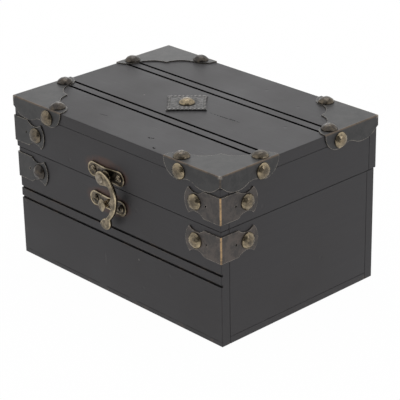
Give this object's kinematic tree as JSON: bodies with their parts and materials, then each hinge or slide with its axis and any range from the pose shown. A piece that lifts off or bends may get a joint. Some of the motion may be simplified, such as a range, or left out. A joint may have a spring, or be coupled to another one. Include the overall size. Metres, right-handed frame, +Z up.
{
  "type": "jack in the box",
  "caption": "Dark wooden casket with bronze corners, dome studs and a swing-hook clasp; its lid hinges back and a spring-mounted jack figure rises with it.",
  "frame": {"origin": "middle of the box's underside, on the surface that it stands on", "axes": "+X to the right along the front, +Y to the back, +Z up"},
  "size_m": [0.21, 0.1597, 0.1212],
  "materials": {
    "dark_wood": "near-black stained wood with a soft satin sheen, rubbed at its edges",
    "bronze_sheet": "thin pressed sheet with a dark bronze patina, worn to brass on its folds",
    "antique_brass": "antique brass with dark recesses",
    "steel_wire": "bright drawn wire",
    "plain_wood": "bare pale wood",
    "painted_face": "painted turned wood",
    "red_paint": "red painted wood",
    "coat_cloth": "deep red woven cloth",
    "ruff_cloth": "cream pleated cloth",
    "hat_felt": "dark blue felt"
  },
  "bodies": {
    "box": {"base_board": "dark_wood", "box_front_panel": "dark_wood", "box_back_panel": "dark_wood", "box_left_panel": "dark_wood", "box_right_panel": "dark_wood", "box_panel_brads": "steel_wire", "box_strap_left": "bronze_sheet", "box_strap_right": "bronze_sheet", "box_strap_studs": "antique_brass", "catch_plate": "antique_brass", "catch_screws": "antique_brass", "hinge_box_leaf_left": "bronze_sheet", "hinge_box_leaf_right": "bronze_sheet", "hinge_pins": "bronze_sheet", "hinge_box_screws": "antique_brass", "spring_block": "plain_wood", "spring_staples": "steel_wire", "jack_spring": "steel_wire"},
    "lid": {"lid_top_panel": "dark_wood", "lid_front_rail": "dark_wood", "lid_back_rail": "dark_wood", "lid_left_rail": "dark_wood", "lid_right_rail": "dark_wood", "lid_panel_brads": "steel_wire", "lid_corner_front_left": "bronze_sheet", "lid_corner_front_right": "bronze_sheet", "lid_corner_back_left": "bronze_sheet", "lid_corner_back_right": "bronze_sheet", "lid_corner_studs": "antique_brass", "lid_strap_left": "bronze_sheet", "lid_strap_right": "bronze_sheet", "lid_strap_studs": "antique_brass", "medallion_plate": "bronze_sheet", "medallion_stud": "antique_brass", "hook_plate": "antique_brass", "hook_plate_screws": "antique_brass", "hook_rivet": "antique_brass", "hinge_lid_leaf_left": "bronze_sheet", "hinge_lid_leaf_right": "bronze_sheet", "hinge_lid_screws": "antique_brass"},
    "hook": {"clasp_hook": "antique_brass"},
    "jack": {"spring_disc": "plain_wood", "jack_coat": "coat_cloth", "jack_ruff": "ruff_cloth", "jack_head": "painted_face", "jack_nose": "red_paint", "jack_hat": "hat_felt", "hat_bell": "antique_brass"}
  },
  "joints": [
    {"name": "lid_hinge", "type": "hinge", "parent": "box", "child": "lid", "pos_m": [0, 0.0738, 0.0803], "axis": [-1, 0, 0], "range_deg": [0, 105]},
    {"name": "hook_swing", "type": "hinge", "parent": "lid", "child": "hook", "pos_m": [-0.0055, -0.0757, 0.0862], "axis": [0, -1, 0], "range_deg": [0, 100]},
    {"name": "jack_rise", "type": "slide", "parent": "box", "child": "jack", "axis": [0, 0, 1], "range_m": [0, 0.12], "deforming": ["jack_spring"]}
  ],
  "couplings": [
    {"joint": "jack_rise", "follows": "lid_hinge", "m_per_rad": 0.065}
  ]
}
